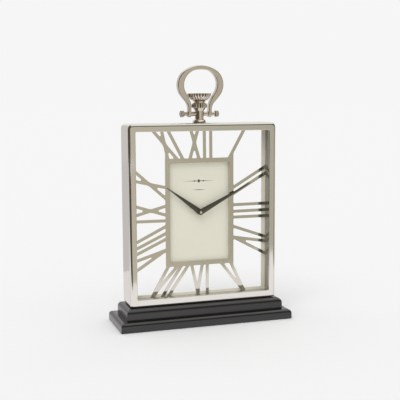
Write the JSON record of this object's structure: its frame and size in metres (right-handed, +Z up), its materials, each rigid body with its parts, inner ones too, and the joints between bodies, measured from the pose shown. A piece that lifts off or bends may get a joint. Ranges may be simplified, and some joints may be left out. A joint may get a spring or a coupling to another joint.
{
  "type": "mantel clock",
  "caption": "Skeleton mantel clock: open nickel frame with pierced Roman numerals around a cream dial, swinging bow and fluted crown on top, on a stepped black base.",
  "frame": {"origin": "middle of the felt's underside, where the clock stands on a shelf", "axes": "+Z up, +X to the viewer's right when facing the dial, +Y away from the viewer to the clock's back"},
  "size_m": [0.28, 0.0914, 0.4049],
  "materials": {
    "black_lacquer": "black satin lacquer",
    "felt": "black felt",
    "seat_rubber": "black sheet",
    "nickel": "polished nickel plate",
    "dial_cream": "matt cream enamel",
    "hand_dark": "dark gunmetal",
    "movement_black": "moulded",
    "wheel_plastic": "moulded",
    "screw_steel": "zinc plated",
    "nut_brass": "turned",
    "coil_copper": "enamelled wire",
    "board_green": "printed circuit",
    "battery_can": "plain sleeve"
  },
  "bodies": {
    "clock_body": {"base_lower_tier": "black_lacquer", "base_upper_tier": "black_lacquer", "base_felt": "felt", "frame_seat_pad": "seat_rubber", "movement_gasket": "seat_rubber", "frame_bottom_rail": "nickel", "frame_top_rail": "nickel", "frame_left_stile": "nickel", "frame_right_stile": "nickel", "numeral_fret": "nickel", "dial_spacer_frame": "nickel", "bow_stem": "nickel", "stem_collar": "nickel", "crown_cup": "nickel", "cross_rod": "nickel", "rod_spacers": "nickel", "rod_collars": "nickel", "thumb_nuts": "nickel", "dial_plate": "dial_cream", "movement_front_case": "movement_black", "movement_rear_cover": "movement_black", "tier_screws": "screw_steel", "frame_bolts": "screw_steel", "dial_screws": "screw_steel", "stator": "screw_steel", "battery_contact_positive": "screw_steel", "battery_contact_negative": "screw_steel", "movement_nut": "nut_brass", "coil": "coil_copper", "circuit_board": "board_green"},
    "bow": {"bow": "nickel"},
    "minute": {"minute_hand": "hand_dark", "minute_arbor": "screw_steel", "hand_nut": "nickel"},
    "hour": {"hour_hand": "hand_dark", "hour_wheel": "wheel_plastic"},
    "motion": {"motion_wheel": "wheel_plastic"},
    "setting": {"setting_knob": "movement_black"},
    "battery": {"battery": "battery_can"}
  },
  "joints": [
    {"name": "minute_turn", "type": "hinge", "parent": "clock_body", "child": "minute", "pos_m": [0, 0, 0.1746], "axis": [0, 1, 0], "continuous": true},
    {"name": "hour_turn", "type": "hinge", "parent": "clock_body", "child": "hour", "pos_m": [0, 0, 0.1746], "axis": [0, 1, 0], "continuous": true},
    {"name": "motion_turn", "type": "hinge", "parent": "clock_body", "child": "motion", "pos_m": [0.0053, 0, 0.1799], "axis": [0, 1, 0], "continuous": true},
    {"name": "setting_turn", "type": "hinge", "parent": "clock_body", "child": "setting", "pos_m": [0.01061, 0, 0.18521], "axis": [0, 1, 0], "continuous": true},
    {"name": "bow_swing", "type": "hinge", "parent": "clock_body", "child": "bow", "pos_m": [0, 0, 0.3295], "axis": [1, 0, 0], "range_deg": [-113, 101]},
    {"name": "battery_out", "type": "slide", "parent": "clock_body", "child": "battery", "axis": [0, 1, 0], "range_m": [0, 0.02]}
  ],
  "couplings": [
    {"joint": "hour_turn", "follows": "minute_turn", "ratio": 0.083333},
    {"joint": "motion_turn", "follows": "minute_turn", "ratio": -0.33333},
    {"joint": "setting_turn", "follows": "minute_turn", "ratio": 1}
  ]
}
